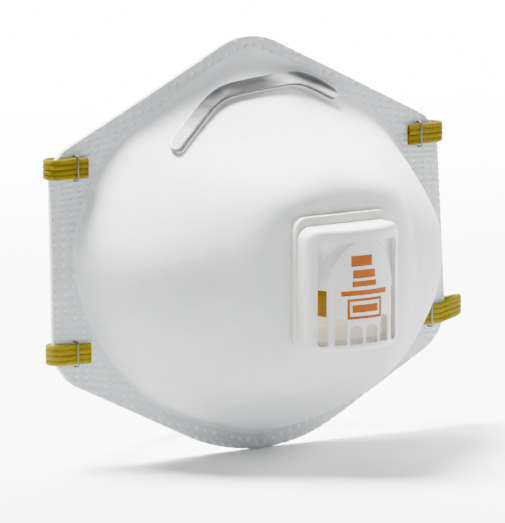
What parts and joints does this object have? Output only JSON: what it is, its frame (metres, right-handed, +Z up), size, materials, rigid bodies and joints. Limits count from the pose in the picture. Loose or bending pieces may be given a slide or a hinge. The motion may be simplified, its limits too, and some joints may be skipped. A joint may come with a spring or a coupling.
{
  "type": "disposable dust mask",
  "caption": "White moulded cup dust mask with a dotted flange, bendable nose clip, square exhalation valve and yellow elastic head straps.",
  "frame": {"origin": "middle of the face opening, level with the middle of the flange's side edges", "axes": "+X to the right seen from the front, +Y towards the wearer's face, +Z up to the nose"},
  "size_m": [0.1539, 0.1009, 0.1283],
  "materials": {
    "cover_web": "soft white nonwoven",
    "filter_media": "matte nonwoven",
    "moulded_shell": "matte thermoformed fibre",
    "valve_plastic": "satin",
    "flap_rubber": "smooth amber sheet",
    "clip_aluminium": "satin",
    "clip_adhesive": "translucent adhesive film",
    "nose_foam": "soft open-cell foam",
    "strap_braid": "ribbed elastic braid",
    "staple_steel": "dark wire"
  },
  "bodies": {
    "mask_body": {"outer_cover_web": "cover_web", "filter_layer": "filter_media", "shaping_shell": "moulded_shell", "nose_clip": "clip_aluminium", "nose_clip_adhesive": "clip_adhesive", "nose_foam": "nose_foam", "valve_seat": "valve_plastic", "valve_cover": "valve_plastic", "upper_strap": "strap_braid", "lower_strap": "strap_braid", "upper_strap_end_left": "strap_braid", "upper_strap_end_right": "strap_braid", "lower_strap_end_left": "strap_braid", "lower_strap_end_right": "strap_braid", "staple_upper_left": "staple_steel", "staple_upper_right": "staple_steel", "staple_lower_left": "staple_steel", "staple_lower_right": "staple_steel"},
    "valve_flap": {"valve_flap": "flap_rubber"}
  },
  "joints": [
    {"name": "flap_hinge", "type": "hinge", "parent": "mask_body", "child": "valve_flap", "pos_m": [0, -0.0492, 0.00855], "axis": [-1, 0, 0], "range_deg": [0, 20], "stiffness_Nm_per_rad": 0.0002}
  ]
}
